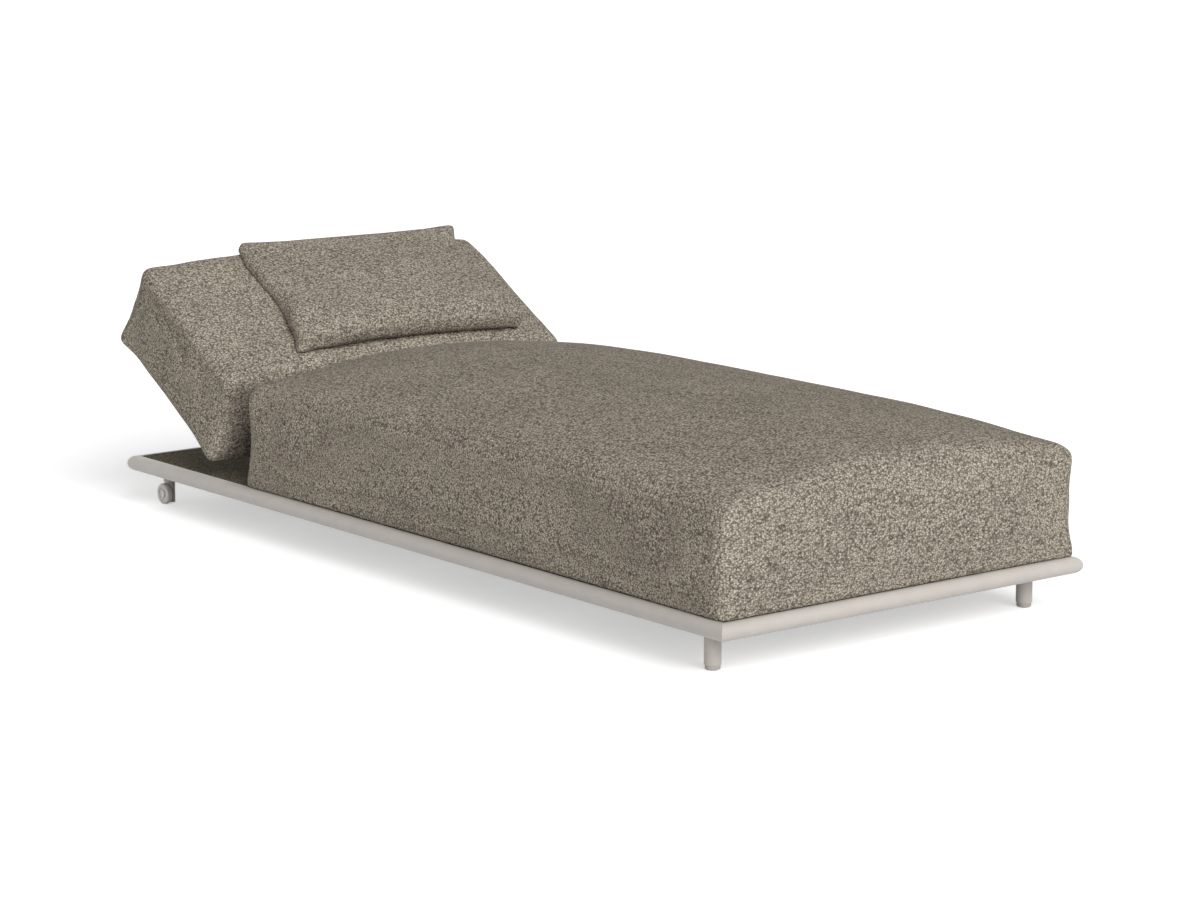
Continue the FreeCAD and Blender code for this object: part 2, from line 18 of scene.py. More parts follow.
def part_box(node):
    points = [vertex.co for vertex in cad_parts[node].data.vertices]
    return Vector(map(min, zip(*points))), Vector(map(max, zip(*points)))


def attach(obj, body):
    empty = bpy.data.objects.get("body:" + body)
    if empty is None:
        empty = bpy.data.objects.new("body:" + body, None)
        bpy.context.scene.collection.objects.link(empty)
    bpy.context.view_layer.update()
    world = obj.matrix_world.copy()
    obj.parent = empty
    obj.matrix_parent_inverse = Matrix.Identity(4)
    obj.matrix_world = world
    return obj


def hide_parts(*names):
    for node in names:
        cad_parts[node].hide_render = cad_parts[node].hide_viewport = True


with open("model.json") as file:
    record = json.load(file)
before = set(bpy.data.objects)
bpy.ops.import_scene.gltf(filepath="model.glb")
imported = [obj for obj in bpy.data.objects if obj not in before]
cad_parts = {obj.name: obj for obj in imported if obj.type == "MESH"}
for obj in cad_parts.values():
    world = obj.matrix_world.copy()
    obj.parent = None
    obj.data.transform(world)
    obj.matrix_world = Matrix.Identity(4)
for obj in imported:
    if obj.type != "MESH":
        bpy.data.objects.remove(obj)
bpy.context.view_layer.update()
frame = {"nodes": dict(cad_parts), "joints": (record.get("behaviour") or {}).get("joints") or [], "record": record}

scene = bpy.context.scene
nodes = frame["nodes"]
record = frame["record"]

# %% [markdown]
# ## The camera
# The photograph was taken from the foot end, a little above the seat, with a long lens. A camera can be
# aimed with a constraint, but two angles and a place say the same thing in numbers that can be checked.

# %% Camera
PHOTO_WIDTH = 1200
FOCAL_PIXELS = 3500
SENSOR_WIDTH = 36.0
CAMERA_PLACE = Vector((-4.4882, -5.7963, 1.6215))
CAMERA_HEADING = 0.9021
CAMERA_DIP = 0.1887

ahead = Vector((
    math.cos(CAMERA_DIP) * math.cos(CAMERA_HEADING),
    math.cos(CAMERA_DIP) * math.sin(CAMERA_HEADING),
    -math.sin(CAMERA_DIP),
))
camera_data = bpy.data.cameras.new("photo_camera")
camera_data.sensor_width = SENSOR_WIDTH
camera_data.lens = FOCAL_PIXELS / PHOTO_WIDTH * SENSOR_WIDTH
camera = bpy.data.objects.new("photo_camera", camera_data)
camera.location = CAMERA_PLACE
camera.rotation_euler = ahead.to_track_quat("-Z", "Y").to_euler()
scene.collection.objects.link(camera)
scene.camera = camera
print("camera lens", round(camera_data.lens, 1), "mm")

# %% [markdown]
# ## The studio
# The lounger stands on a white floor, under an even sky. What the camera sees of the floor gets a
# little glow, so that it reaches white and still keeps the shadow. The sky looks white and still lights
# softly, because rays from the camera see another strength than rays that carry light.

# %% Floor and sky
FLOOR_REACH = 60.0
FLOOR_SHADE = 0.86
FLOOR_GLOW = 0.50
SKY_STRENGTH = 0.115
WHITE = (1, 1, 1, 1)


def seen_directly(tree):
    """1 for rays that come from the camera, a mirror or glass, and 0 for rays that carry light."""
    path = tree.nodes.new("ShaderNodeLightPath")
    total = path.outputs["Is Camera Ray"]
    for kind in ("Is Glossy Ray", "Is Transmission Ray"):
        add = tree.nodes.new("ShaderNodeMath")
        add.operation = "ADD"
        add.use_clamp = True
        tree.links.new(total, add.inputs[0])
        tree.links.new(path.outputs[kind], add.inputs[1])
        total = add.outputs[0]
    return total


def floor_material():
    material = bpy.data.materials.new("studio_floor")
    material.use_nodes = True
    tree = material.node_tree
    shader = tree.nodes["Principled BSDF"]
    shader.inputs["Base Color"].default_value = (FLOOR_SHADE, FLOOR_SHADE, FLOOR_SHADE, 1)
    shader.inputs["Roughness"].default_value = 1.0
    shader.inputs["Specular IOR Level"].default_value = 0.0
    shader.inputs["Emission Color"].default_value = WHITE
    glow = tree.nodes.new("ShaderNodeMath")
    glow.operation = "MULTIPLY"
    glow.inputs[1].default_value = FLOOR_GLOW
    tree.links.new(seen_directly(tree), glow.inputs[0])
    tree.links.new(glow.outputs[0], shader.inputs["Emission Strength"])
    return material


def even_sky():
    sky = bpy.data.worlds.new("studio_sky")
    sky.use_nodes = True
    tree = sky.node_tree
    background = tree.nodes["Background"]
    background.inputs["Color"].default_value = WHITE
    level = tree.nodes.new("ShaderNodeMapRange")
    level.inputs["To Min"].default_value = SKY_STRENGTH
    level.inputs["To Max"].default_value = 1.0
    tree.links.new(seen_directly(tree), level.inputs["Value"])
    tree.links.new(level.outputs["Result"], background.inputs["Strength"])
    return sky


floor_corners = [(-1, -1), (1, -1), (1, 1), (-1, 1)]
floor_mesh = bpy.data.meshes.new("studio_floor")
floor_mesh.from_pydata([(x * FLOOR_REACH, y * FLOOR_REACH, 0) for x, y in floor_corners], [], [(0, 1, 2, 3)])
floor = bpy.data.objects.new("studio_floor", floor_mesh)
floor.data.materials.append(floor_material())
scene.collection.objects.link(floor)
scene.world = even_sky()
scene.view_settings.view_transform = "Standard"
print("studio: a floor of", 2 * FLOOR_REACH, "m and a sky")

# %% [markdown]
# Three broad suns light the lounger: a key from the foot end, a softer one from the long side and a
# weak one from behind. Suns light every metre of floor alike, which area lamps don't.

# %% Lamps
LAMPS = {
    # the way towards the lamp, its strength, and its spread in degrees
    "key_light": (Vector((-0.10, -0.84, 0.54)), 3.05, 45),
    "side_light": (Vector((-0.97, -0.15, 0.20)), 1.0, 60),
    "rear_light": (Vector((0.45, 0.75, 0.48)), 0.5, 60),
}

for lamp_name, (source, strength, spread) in LAMPS.items():
    lamp_data = bpy.data.lights.new(lamp_name, "SUN")
    lamp_data.energy = strength
    lamp_data.angle = math.radians(spread)
    lamp = bpy.data.objects.new(lamp_name, lamp_data)
    lamp.rotation_euler = source.to_track_quat("Z", "Y").to_euler()
    scene.collection.objects.link(lamp)
print("lamps:", ", ".join(LAMPS))

# %% [markdown]
# ## Helpers for materials
# Every finish is a Principled shader fed by textures on Object coordinates, so no piece needs a UV map.
# Colours are written as they look on a screen and turned into linear light once, here.

# %% Material helpers


def screen_colour(red, green, blue):
    """A colour as seen on a screen, 0 to 255, as linear light."""
    channels = []
    for value in (red, green, blue):
        share = value / 255
        channels.append(share / 12.92 if share <= 0.04045 else ((share + 0.055) / 1.055) ** 2.4)
    return (*channels, 1.0)


def new_material(name):
    material = bpy.data.materials.new(name)
    material.use_nodes = True
    tree = material.node_tree
    return material, tree, tree.nodes["Principled BSDF"]


def place_node(tree, kind, **settings):
    node = tree.nodes.new(kind)
    for key, value in settings.items():
        setattr(node, key, value)
    return node


def feed(tree, socket, value):
    """Links a socket to another one, or sets it to a plain value."""
    if isinstance(value, bpy.types.NodeSocket):
        tree.links.new(value, socket)
    else:
        socket.default_value = value


def object_coordinates(tree):
    return place_node(tree, "ShaderNodeTexCoord").outputs["Object"]


# %% Texture helpers


def noise(tree, vector, scale, detail=2.0, roughness=0.5):
    node = place_node(tree, "ShaderNodeTexNoise")
    node.inputs["Scale"].default_value = scale
    node.inputs["Detail"].default_value = detail
    node.inputs["Roughness"].default_value = roughness
    tree.links.new(vector, node.inputs["Vector"])
    return node.outputs["Fac"]


def remap(tree, value, low, high, from_low=0.0, from_high=1.0):
    node = place_node(tree, "ShaderNodeMapRange")
    node.inputs["From Min"].default_value = from_low
    node.inputs["From Max"].default_value = from_high
    node.inputs["To Min"].default_value = low
    node.inputs["To Max"].default_value = high
    tree.links.new(value, node.inputs["Value"])
    return node.outputs["Result"]


def maths(tree, operation, first, second, clamp=False):
    node = place_node(tree, "ShaderNodeMath", operation=operation, use_clamp=clamp)
    feed(tree, node.inputs[0], first)
    feed(tree, node.inputs[1], second)
    return node.outputs[0]


def mix_colour(tree, factor, first, second, blend="MIX"):
    """Mixes two colours; a Mix node keeps its colour sockets at 6 and 7, and its colour result at 2."""
    node = place_node(tree, "ShaderNodeMix", data_type="RGBA", blend_type=blend)
    feed(tree, node.inputs[0], factor)
    feed(tree, node.inputs[6], first)
    feed(tree, node.inputs[7], second)
    return node.outputs[2]


def toned(tree, colour, strength):
    """A colour made lighter or darker by a value that changes over the surface."""
    node = place_node(tree, "ShaderNodeVectorMath", operation="SCALE")
    feed(tree, node.inputs[0], colour)
    feed(tree, node.inputs["Scale"], strength)
    return node.outputs[0]


def bump(tree, height, distance, strength):
    node = place_node(tree, "ShaderNodeBump")
    node.inputs["Distance"].default_value = distance
    node.inputs["Strength"].default_value = strength
    tree.links.new(height, node.inputs["Height"])
    return node.outputs["Normal"]


# %% Group helpers


def new_group(name, inputs, outputs):
    """An empty shader group with named sockets, and its input and output nodes."""
    tree = bpy.data.node_groups.new(name, "ShaderNodeTree")
    for socket, kind in inputs:
        tree.interface.new_socket(socket, in_out="INPUT", socket_type=kind)
    for socket, kind in outputs:
        tree.interface.new_socket(socket, in_out="OUTPUT", socket_type=kind)
    return tree, tree.nodes.new("NodeGroupInput"), tree.nodes.new("NodeGroupOutput")


def use_group(tree, group, **values):
    node = place_node(tree, "ShaderNodeGroup", node_tree=group)
    for key, value in values.items():
        feed(tree, node.inputs[key.replace("_", " ")], value)
    return node


# %% [markdown]
# ## The melange cloth
# The cushions are covered in a coarse looped weave: nubs of yarn about 4 mm across, spun from a pale
# and a dark thread. A checker of threads would look too tidy. Cells of a Voronoi texture give nubs of
# uneven size, each with its own mix of the two threads, and a finer noise frays them. The colour is also
# painted darker towards the edge of each nub, as painted shade in the valleys between the loops. The weave
# is a group, because the deck is covered in a cloth of the same kind.

# %% Threads
PALE_THREAD = screen_colour(215, 207, 190)
MIDDLE_THREAD = screen_colour(152, 144, 131)
DARK_THREAD = screen_colour(84, 77, 69)
DARK_END = 0.02
PALE_END = 0.98
NUB_STRETCH = (0.72, 0.9, 1.0)
NUB_WANDER = 0.006
WANDER_SCALE = 60.0


def laid_out(tree, vector):
    """Coordinates that wander a little, so that no row of nubs is straight, and that stretch the nubs."""
    wander = place_node(tree, "ShaderNodeTexNoise")
    wander.inputs["Scale"].default_value = WANDER_SCALE
    wander.inputs["Detail"].default_value = 1.0
    tree.links.new(vector, wander.inputs["Vector"])
    shifted = place_node(tree, "ShaderNodeVectorMath", operation="MULTIPLY_ADD")
    shifted.inputs[1].default_value = (NUB_WANDER, NUB_WANDER, NUB_WANDER)
    tree.links.new(wander.outputs["Color"], shifted.inputs[0])
    tree.links.new(vector, shifted.inputs[2])
    stretched = place_node(tree, "ShaderNodeVectorMath", operation="MULTIPLY")
    stretched.inputs[1].default_value = NUB_STRETCH
    tree.links.new(shifted.outputs[0], stretched.inputs[0])
    return stretched.outputs[0]


def thread_colour(tree, level):
    """The dark thread at the lowest level, the pale one at the highest, and the middle tone between."""
    ramp = place_node(tree, "ShaderNodeValToRGB")
    stops = ramp.color_ramp.elements
    stops[0].position = DARK_END
    stops[0].color = DARK_THREAD
    stops[1].position = PALE_END
    stops[1].color = PALE_THREAD
    stops.new(0.5).color = MIDDLE_THREAD
    tree.links.new(level, ramp.inputs["Fac"])
    return ramp.outputs["Color"]


# %% Weave group
NOISE_SPAN = (0.3, 0.7)
NUB_RANDOMNESS = 0.8
NUB_TONE = 0.12
NUB_SPAN = (0.05, 0.75)
# level on a nub's crest and in the valleys between nubs: it sets the bump, and the low valley level also paints
# shade into the colour
NUB_CREST = 0.86
NUB_VALLEY = 0.1
FIBRE_SCALE = 400
FIBRE_SPAN = (0.25, 0.75)
FIBRE_TONE = 0.3
FIBRE_HEIGHT = 0.4
CLOUD_SCALE = 7
CLOUD_TONE = 0.07


def weave_group():
    tree, given, result = new_group(
        "melange_weave",
        [("Vector", "NodeSocketVector"), ("Nubs per metre", "NodeSocketFloat")],
        [("Color", "NodeSocketColor"), ("Height", "NodeSocketFloat")],
    )
    vector = given.outputs["Vector"]
    nubs = place_node(tree, "ShaderNodeTexVoronoi")
    nubs.inputs["Randomness"].default_value = NUB_RANDOMNESS
    tree.links.new(laid_out(tree, vector), nubs.inputs["Vector"])
    tree.links.new(given.outputs["Nubs per metre"], nubs.inputs["Scale"])
    # painted shade: towards the valleys between nubs the colour runs to the dark thread, and the bump height falls
    # with it
    pile_and_valley_shade = remap(tree, nubs.outputs["Distance"], NUB_CREST, NUB_VALLEY, *NUB_SPAN)
    own_mix = place_node(tree, "ShaderNodeSeparateColor")
    tree.links.new(nubs.outputs["Color"], own_mix.inputs[0])
    own_tone = remap(tree, own_mix.outputs[0], -NUB_TONE, NUB_TONE)
    fibres = noise(tree, vector, FIBRE_SCALE, 3.0, 0.6)
    frayed = remap(tree, fibres, -FIBRE_TONE, FIBRE_TONE, *FIBRE_SPAN)
    level = maths(tree, "ADD", pile_and_valley_shade, maths(tree, "ADD", own_tone, frayed))
    cloud = remap(tree, noise(tree, vector, CLOUD_SCALE), 1 - CLOUD_TONE, 1 + CLOUD_TONE, *NOISE_SPAN)
    tree.links.new(toned(tree, thread_colour(tree, level), cloud), result.inputs["Color"])
    height = maths(tree, "ADD", pile_and_valley_shade, maths(tree, "MULTIPLY", fibres, FIBRE_HEIGHT))
    tree.links.new(height, result.inputs["Height"])
    return tree


melange_weave = weave_group()
print("weave group with", len(melange_weave.nodes), "nodes")

# %% [markdown]
# Two cloths use the group: the cushions' cloth as it is, and the deck's cloth with smaller nubs, dyed
# dark.

# %% Cloths
CUSHION_NUBS_PER_METRE = 255.0
DECK_NUBS_PER_METRE = 300.0
DECK_DYE = (0.47, 0.455, 0.39, 1.0)


def woven_cloth(name, nubs_per_metre, bump_depth, bump_strength, roughness, gloss, dye=None):
    material, tree, shader = new_material(name)
    weave = use_group(tree, melange_weave, Vector=object_coordinates(tree), Nubs_per_metre=nubs_per_metre)
    colour = weave.outputs["Color"]
    if dye:
        colour = mix_colour(tree, 1.0, colour, dye, "MULTIPLY")
    tree.links.new(colour, shader.inputs["Base Color"])
    relief = bump(tree, weave.outputs["Height"], bump_depth, bump_strength)
    tree.links.new(relief, shader.inputs["Normal"])
    shader.inputs["Roughness"].default_value = roughness
    shader.inputs["Specular IOR Level"].default_value = gloss
    return material


melange_cloth = woven_cloth(
    "melange_cloth",
    CUSHION_NUBS_PER_METRE,
    bump_depth=0.0018,
    bump_strength=0.7,
    roughness=1.0,
    gloss=0.05,
)
deck_cloth = woven_cloth(
    "deck_cloth",
    DECK_NUBS_PER_METRE,
    bump_depth=0.0012,
    bump_strength=0.6,
    roughness=0.95,
    gloss=0.1,
    dye=DECK_DYE,
)
print("cushion nubs of", round(1000 / CUSHION_NUBS_PER_METRE, 1), "mm")

# %% [markdown]
# ## Finishes of the frame
# The tubes are powder coated. Baked powder is never quite flat: it has a fine orange peel, and here and
# there it is a touch glossier. Dust gathers low down. Those two effects serve several finishes, so each
# is a group.

# %% Coat and dust groups
PEEL_SCALE = 900
PEEL_STRENGTH = 0.5
GLOSS_SCALE = 9
GLOSS_DRIFT = 0.09
TONE_SCALE = 22
TONE_RANGE = (0.95, 1.03)
DUST_SCALE = 60
DUST_SPAN = (0.35, 0.7)
DUST = screen_colour(150, 140, 126)
DUST_SHARE = 0.35


def peel_group():
    """Fine orange peel of a baked coat, with a slow drift in gloss and tone."""
    tree, given, result = new_group(
        "coat_peel",
        [("Vector", "NodeSocketVector"), ("Roughness", "NodeSocketFloat")],
        [("Height", "NodeSocketFloat"), ("Roughness", "NodeSocketFloat"), ("Tone", "NodeSocketFloat")],
    )
    vector = given.outputs["Vector"]
    tree.links.new(noise(tree, vector, PEEL_SCALE), result.inputs["Height"])
    drift = remap(tree, noise(tree, vector, GLOSS_SCALE, 4.0), -GLOSS_DRIFT, GLOSS_DRIFT, *NOISE_SPAN)
    tree.links.new(maths(tree, "ADD", given.outputs["Roughness"], drift), result.inputs["Roughness"])
    tone = remap(tree, noise(tree, vector, TONE_SCALE, 5.0, 0.65), *TONE_RANGE, *NOISE_SPAN)
    tree.links.new(tone, result.inputs["Tone"])
    return tree


def dust_group():
    """A mask for dust and scuffs close to the ground, broken up by noise."""
    tree, given, result = new_group(
        "ground_dust",
        [("Vector", "NodeSocketVector"), ("Top", "NodeSocketFloat")],
        [("Mask", "NodeSocketFloat")],
    )
    vector = given.outputs["Vector"]
    place = place_node(tree, "ShaderNodeSeparateXYZ")
    tree.links.new(vector, place.inputs[0])
    high = maths(tree, "DIVIDE", place.outputs["Z"], given.outputs["Top"])
    patchy = remap(tree, noise(tree, vector, DUST_SCALE, 4.0, 0.7), 0.0, 1.0, *DUST_SPAN)
    mask = maths(tree, "MULTIPLY", maths(tree, "SUBTRACT", 1.0, high), patchy, clamp=True)
    tree.links.new(mask, result.inputs["Mask"])
    return tree


coat_peel = peel_group()
ground_dust = dust_group()


def coated(name, colour, roughness, peel_depth, dust_top=0.0, metallic=0.0):
    material, tree, shader = new_material(name)
    vector = object_coordinates(tree)
    peel = use_group(tree, coat_peel, Vector=vector, Roughness=roughness)
    surface = toned(tree, screen_colour(*colour)[:3], peel.outputs["Tone"])
    if dust_top:
        dust = use_group(tree, ground_dust, Vector=vector, Top=dust_top)
        surface = mix_colour(tree, maths(tree, "MULTIPLY", dust.outputs["Mask"], DUST_SHARE), surface, DUST)
    tree.links.new(surface, shader.inputs["Base Color"])
    tree.links.new(peel.outputs["Roughness"], shader.inputs["Roughness"])
    tree.links.new(bump(tree, peel.outputs["Height"], peel_depth, PEEL_STRENGTH), shader.inputs["Normal"])
    shader.inputs["Metallic"].default_value = metallic
    return material


# %% [markdown]
# Outdoor screws and bolts are coated with zinc flakes, a matt light grey, and moulded plastic has a
# fine spark-eroded grain. Both come from the same peel group, with other depths and colours.

# %% All finishes
COATS = {
    # colour on a screen, roughness, depth of the peel, top of the dust, metallic share
    "frame_coat": ((186, 180, 174), 0.42, 0.00012, 0.09),
    "fastener_steel": ((206, 204, 199), 0.55, 0.00008, 0.0, 0.3),
    "hinge_steel": ((58, 57, 56), 0.45, 0.0001),
    "hinge_lining": ((40, 39, 38), 0.8, 0.0002),
    "glide_plastic": ((170, 165, 160), 0.55, 0.00015, 0.02),
    "wheel_plastic": ((214, 211, 206), 0.5, 0.00012, 0.05),
    "tyre_rubber": ((212, 209, 204), 0.8, 0.0002, 0.05),
    "back_frame_coat": ((62, 61, 60), 0.5, 0.00012),
    "strap_webbing": ((40, 39, 38), 0.9, 0.0003),
}

finishes = {name: coated(name, *values) for name, values in COATS.items()}
finishes["deck_cloth"] = deck_cloth
finishes["cushion_cloth"] = melange_cloth
for row in record["subparts"]:
    for slot in nodes[row["node"]].material_slots:
        slot.material = finishes[row["material_slot"]]
print("finishes:", ", ".join(sorted(finishes)))

# %% [markdown]
# ## The cushions
# A cushion is a sewn cover pushed out by its filling. It could be sculpted by hand, but a cover that is
# really filled bulges in the right places. Each cushion starts as a copy of its CAD solid, remeshed
# into even squares. Its edges are softened while the sewn corners stay tight, its faces are puffed
# where the photograph shows them full, and Blender's cloth then presses it out from inside. The back
# and the pillow are worked on lying flat, so that up is up, and are raised about the hinge at the end.

# %% Working place
POST_MARGIN = 0.006

recline_joint = next(joint for joint in frame["joints"] if joint["name"] == "back_recline")
slide_joint = next(joint for joint in frame["joints"] if joint["name"] == "pillow_slide")
hinge_place = Vector(recline_joint["pos_m"])
back_slope = math.atan2(slide_joint["axis"][2], slide_joint["axis"][1])
turn_down = Matrix.Rotation(-back_slope, 4, "X")
lay_flat = Matrix.Translation(hinge_place) @ turn_down @ Matrix.Translation(-hinge_place)
raise_back = lay_flat.inverted()
still = Matrix.Identity(4)
post_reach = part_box("hinge_post_right")[1][0] + POST_MARGIN
print("the back slopes by", round(math.degrees(back_slope), 1), "degrees")
print("the hinge posts keep", round(post_reach, 3), "m on each side")


def flat_box(node, turn):
    """The corners of a CAD node after a turn, as two arrays."""
    points = np.array([turn @ vertex.co for vertex in nodes[node].data.vertices])
    return points.min(axis=0), points.max(axis=0)


# %% Mesh helpers
MERGE_DISTANCE = 0.00002


def copy_of(node, name, turn):
    """A CAD node's mesh as a new object with its triangles joined, laid flat by the turn."""
    mesh = nodes[node].data.copy()
    mesh.transform(turn)
    shell = bmesh.new()
    shell.from_mesh(mesh)
    bmesh.ops.remove_doubles(shell, verts=shell.verts, dist=MERGE_DISTANCE)
    shell.to_mesh(mesh)
    shell.free()
    mesh.materials.clear()
    piece = bpy.data.objects.new(name, mesh)
    scene.collection.objects.link(piece)
    return piece


def add_block(piece, low, high):
    """Joins a block into a piece; the remesh then makes one skin of both."""
    shell = bmesh.new()
    shell.from_mesh(piece.data)
    size = Vector(high) - Vector(low)
    middle = (Vector(high) + Vector(low)) / 2
    place = Matrix.Translation(middle) @ Matrix.Diagonal((*size, 1.0))
    bmesh.ops.create_cube(shell, size=1.0, matrix=place)
    shell.to_mesh(piece.data)
    shell.free()


def even_squares(piece, size):
    piece.data.remesh_voxel_size = size
    bpy.context.view_layer.objects.active = piece
    piece.select_set(True)
    bpy.ops.object.voxel_remesh()
    piece.select_set(False)


def points_of(mesh):
    points = np.empty(len(mesh.vertices) * 3)
    mesh.vertices.foreach_get("co", points)
    return points.reshape(-1, 3)


def normals_of(mesh):
    normals = np.empty(len(mesh.vertices) * 3)
    mesh.vertex_normals.foreach_get("vector", normals)
    return normals.reshape(-1, 3)


def set_points(mesh, points):
    mesh.vertices.foreach_set("co", points.reshape(-1))
    mesh.update()


# %% [markdown]
# ### Soft edges and tight corners
# On a sewn cover the edges give way and the corners don't. So each point drifts towards its neighbours,
# by a weight that is 0 at the corners. A corner may also be drawn out into an ear, as the photograph
# shows it.

# %% Edges and corners
CORNERS = {
    "left_foot_low": (-1, -1, -0.6),
    "left_foot_top": (-1, -1, 0.6),
    "left_head_low": (-1, 1, -0.6),
    "left_head_top": (-1, 1, 0.6),
    "right_foot_low": (1, -1, -0.6),
    "right_foot_top": (1, -1, 0.6),
    "right_head_low": (1, 1, -0.6),
    "right_head_top": (1, 1, 0.6),
}
DRIFT = 0.5


def sewn_corners(points):
    """The points of a cushion that reach furthest towards each of its corners."""
    return {name: points[np.argmax(points @ np.array(way))] for name, way in CORNERS.items()}


def ramp_up(values, start, end):
    """0 below the start, 1 above the end, and smooth between."""
    share = np.clip((values - start) / (end - start), 0, 1)
    return share * share * (3 - 2 * share)


def away_from_corners(points, near, far):
    """0 at the sewn corners, which stay tight, and 1 along the edges and faces between them."""
    corners = np.array(list(sewn_corners(points).values()))
    away = np.min(np.linalg.norm(points[:, None, :] - corners[None, :, :], axis=2), axis=1)
    return ramp_up(away, near, far)


def soften(piece, weight, rounds):
    """Lets each point drift towards its neighbours, as far as its weight allows."""
    mesh = piece.data
    count = len(mesh.vertices)
    ends = np.empty(len(mesh.edges) * 2, dtype=np.int64)
    mesh.edges.foreach_get("vertices", ends)
    first, second = ends.reshape(-1, 2).T
    number = np.bincount(first, minlength=count) + np.bincount(second, minlength=count)
    points = points_of(mesh)
    for _ in range(rounds):
        around = np.empty_like(points)
        for axis in range(3):
            along = points[:, axis]
            around[:, axis] = np.bincount(first, along[second], count)
            around[:, axis] += np.bincount(second, along[first], count)
        points += DRIFT * weight[:, None] * (around / number[:, None] - points)
    set_points(mesh, points)


def draw_ears(points, ears):
    """Draws the points near some of the sewn corners along by a shift that fades out over a reach."""
    corners = sewn_corners(points)
    for name, (shift, reach) in ears.items():
        share = np.clip(1 - np.linalg.norm(points - corners[name], axis=1) / reach, 0, 1)
        points = points + (share * share)[:, None] * np.array(shift)
    return points


# %% [markdown]
# ### Puffing and filling
# Puffing pushes a face out by a depth of its own, for the way it looks. The filling is Blender's cloth
# with pressure and no gravity. How far a point may move is capped, so that the cushion stays in the
# space that the CAD model keeps for it.

# %% Puffing and filling
FACE_WAYS = {"left": (0, -1), "right": (0, 1), "foot": (1, -1), "head": (1, 1), "top": (2, 1)}
SETTLE_FRAMES = 20
CLOTH = {
    "quality": 5,
    "mass": 0.3,
    "tension_stiffness": 25,
    "compression_stiffness": 25,
    "shear_stiffness": 15,
    "bending_stiffness": 2.0,
    "use_pressure": True,
    "uniform_pressure_force": 4.0,
}


def swell(piece, depths):
    """How far each point is to be pushed out, from a depth for each way that a face may look."""
    normals = normals_of(piece.data)
    total = np.zeros(len(normals))
    for way, depth in depths.items():
        axis, sign = FACE_WAYS[way]
        total += depth * np.maximum(sign * normals[:, axis], 0)
    return total


def puff(piece, depth):
    """Pushes each point out along its normal by its own depth."""
    set_points(piece.data, points_of(piece.data) + depth[:, None] * normals_of(piece.data))


def fill(piece, cap):
    """Presses a piece out from inside; no point ends further than the cap from its start."""
    start = points_of(piece.data)
    cloth = piece.modifiers.new("filling", "CLOTH")
    for key, value in CLOTH.items():
        setattr(cloth.settings, key, value)
    cloth.settings.effector_weights.gravity = 0
    cloth.collision_settings.use_collision = False
    cloth.point_cache.frame_start = 1
    cloth.point_cache.frame_end = SETTLE_FRAMES
    for number in range(1, SETTLE_FRAMES + 1):
        scene.frame_set(number)
    filled = piece.evaluated_get(bpy.context.evaluated_depsgraph_get())
    moved = points_of(filled.data) - start
    piece.modifiers.remove(cloth)
    scene.frame_set(1)
    length = np.linalg.norm(moved, axis=1, keepdims=True)
    moved *= np.minimum(1.0, cap / np.maximum(length, 1e-9))
    set_points(piece.data, start + moved)
    print(piece.name, "swelled by up to", round(float(length.max()) * 1000, 1), "mm before the cap")


def finish_cushion(piece, node, body, turn_back):
    """Smooths a filled cushion, puts it in place, hangs it on its body and hides the CAD node it stands for."""
    refine = piece.modifiers.new("refine", "SUBSURF")
    refine.levels = refine.render_levels = 1
    piece.data.transform(turn_back)
    for face in piece.data.polygons:
        face.use_smooth = True
    piece.data.materials.append(melange_cloth)
    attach(piece, body)
    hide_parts(node)
    print(piece.name, "has", len(piece.data.polygons), "squares")


# %% [markdown]
# ### Seat cushion
# The seat is one deep block of foam. It lies flat on the deck, so its underside is kept level after the
# filling, and it ends short of the hinge posts. Its two upright edges at the foot end are rounder than
# the rest.

# %% Seat cushion
SEAT_SQUARE = 0.014
SEAT_TIGHT = (0.04, 0.20)
SEAT_FOOTING = (0.005, 0.08)
SEAT_SOFTENING = 12
EDGE_SOFTENING = 13
EDGE_WIDTH = (0.05, 0.12)
EDGE_START = (0.01, 0.06)
EDGE_END = (0.14, 0.21)
EDGE_END_SHARE = 0.7
SEAT_PUFF_SIDES = 0.012
SEAT_PUFF_TOP = 0.002
SEAT_HEAD_CALM = (0.01, 0.06)
SEAT_CAP = 0.004
SEAT_HEM = 0.018
SEAT_EARS = {
    "left_foot_top": ((-0.005, -0.006, 0.006), 0.18),
    "left_head_low": ((0.0, 0.016, 0.0), 0.14),
    "left_head_top": ((-0.003, 0.0, 0.006), 0.18),
    "right_foot_low": ((0.010, -0.005, 0.0), 0.24),
    "right_foot_top": ((0.009, -0.006, 0.008), 0.24),
    "right_head_top": ((0.003, 0.0, 0.014), 0.26),
}

seat = copy_of("seat_cushion", "seat_pad", still)
seat_low, seat_high = flat_box("seat_cushion", still)
even_squares(seat, SEAT_SQUARE)
points = points_of(seat.data)
seat_free = away_from_corners(points, *SEAT_TIGHT)
seat_free *= ramp_up(points[:, 2] - seat_low[2], *SEAT_FOOTING)
soften(seat, seat_free, SEAT_SOFTENING)

points = points_of(seat.data)
from_side = np.minimum(points[:, 0] - seat_low[0], seat_high[0] - points[:, 0])
height = points[:, 2] - seat_low[2]
by_edge = 1 - ramp_up(np.maximum(from_side, points[:, 1] - seat_low[1]), *EDGE_WIDTH)
by_edge *= ramp_up(height, *EDGE_START) * (1 - EDGE_END_SHARE * ramp_up(height, *EDGE_END))
soften(seat, by_edge, EDGE_SOFTENING)

ahead_of_hinge = ramp_up(seat_high[1] - points_of(seat.data)[:, 1], *SEAT_HEAD_CALM)
upward = np.maximum(normals_of(seat.data)[:, 2], 0)
seat_depth = SEAT_PUFF_SIDES + (SEAT_PUFF_TOP - SEAT_PUFF_SIDES) * upward
puff(seat, seat_depth * seat_free * ahead_of_hinge)
fill(seat, SEAT_CAP)

